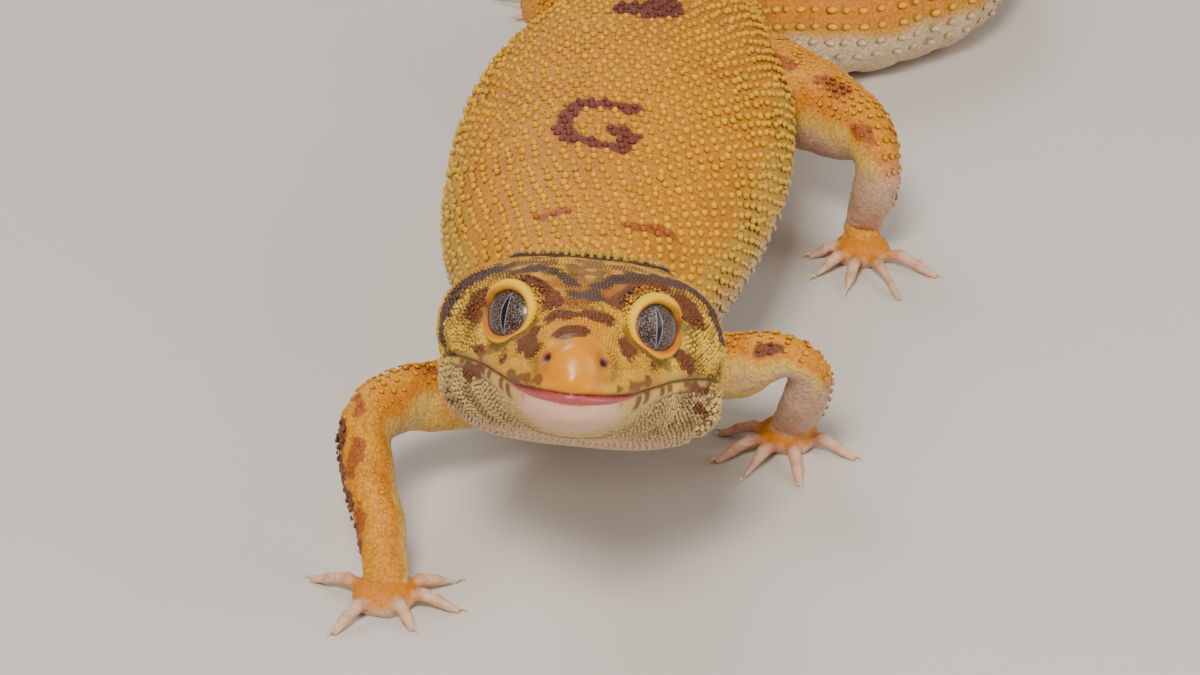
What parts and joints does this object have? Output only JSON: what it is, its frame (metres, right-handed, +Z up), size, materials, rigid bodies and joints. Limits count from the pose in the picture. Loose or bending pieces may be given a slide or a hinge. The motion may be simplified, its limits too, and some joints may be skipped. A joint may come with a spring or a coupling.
{
  "type": "leopard gecko",
  "caption": "Still, life-size leopard gecko standing on four spread feet, head raised and thick tail resting on the ground.",
  "frame": {"origin": "on the ground, under the middle of the gecko's bounding box", "axes": "+Z up; the snout points towards -Y and the tail trails towards +Y; +X is the gecko's left side"},
  "size_m": [0.0764, 0.1962, 0.035],
  "materials": {
    "head_skin": "dry granular skin, brown bars on yellow",
    "jaw_skin": "dry granular skin, yellow and brown lip scales over a pale chin",
    "body_skin": "orange skin with rows of pale yellow tubercles",
    "tail_skin": "orange above, cream below",
    "leg_skin": "orange above with brown spots, pale lilac below",
    "foot_skin": "orange back of the foot, pale toes",
    "eye": "wet grey iris with black veins and an upright slit"
  },
  "bodies": {
    "root": {"head": "head_skin", "lower_jaw": "jaw_skin", "neck": "body_skin", "chest": "body_skin", "loin": "body_skin", "tail_1": "tail_skin", "tail_2": "tail_skin", "tail_3": "tail_skin", "tail_4": "tail_skin", "foreleg_right_upper": "leg_skin", "foreleg_right_lower": "leg_skin", "foreleg_right_foot": "foot_skin", "foreleg_left_upper": "leg_skin", "foreleg_left_lower": "leg_skin", "foreleg_left_foot": "foot_skin", "hindleg_left_upper": "leg_skin", "hindleg_left_lower": "leg_skin", "hindleg_left_foot": "foot_skin", "hindleg_right_upper": "leg_skin", "hindleg_right_lower": "leg_skin", "hindleg_right_foot": "foot_skin", "eye_left": "eye", "eye_right": "eye"}
  },
  "joints": []
}
